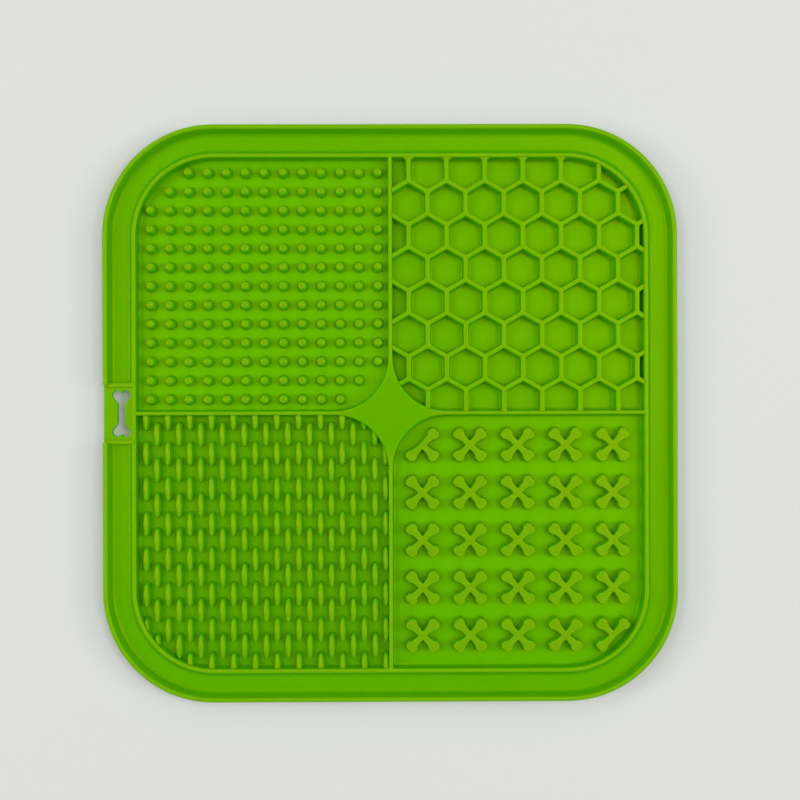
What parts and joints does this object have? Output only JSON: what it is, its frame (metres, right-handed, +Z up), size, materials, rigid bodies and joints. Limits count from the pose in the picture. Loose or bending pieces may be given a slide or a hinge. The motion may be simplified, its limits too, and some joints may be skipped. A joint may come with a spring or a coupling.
{
  "type": "slow feeder mat",
  "caption": "Square moulded silicone lick mat with a raised border, patterned quarters round a flat star, and a bone-shaped hanging hole.",
  "frame": {"origin": "middle of the underside, on the surface that the mat lies on", "axes": "+Z up out of the patterned face, +X to the right and +Y to the far side with the hanging hole at the left edge"},
  "size_m": [0.2, 0.201, 0.0083],
  "materials": {
    "silicone": "satin moulded silicone rubber, lime green, slightly see-through at thin edges"
  },
  "bodies": {
    "root": {"mat": "silicone", "hang_tab": "silicone"}
  },
  "joints": []
}
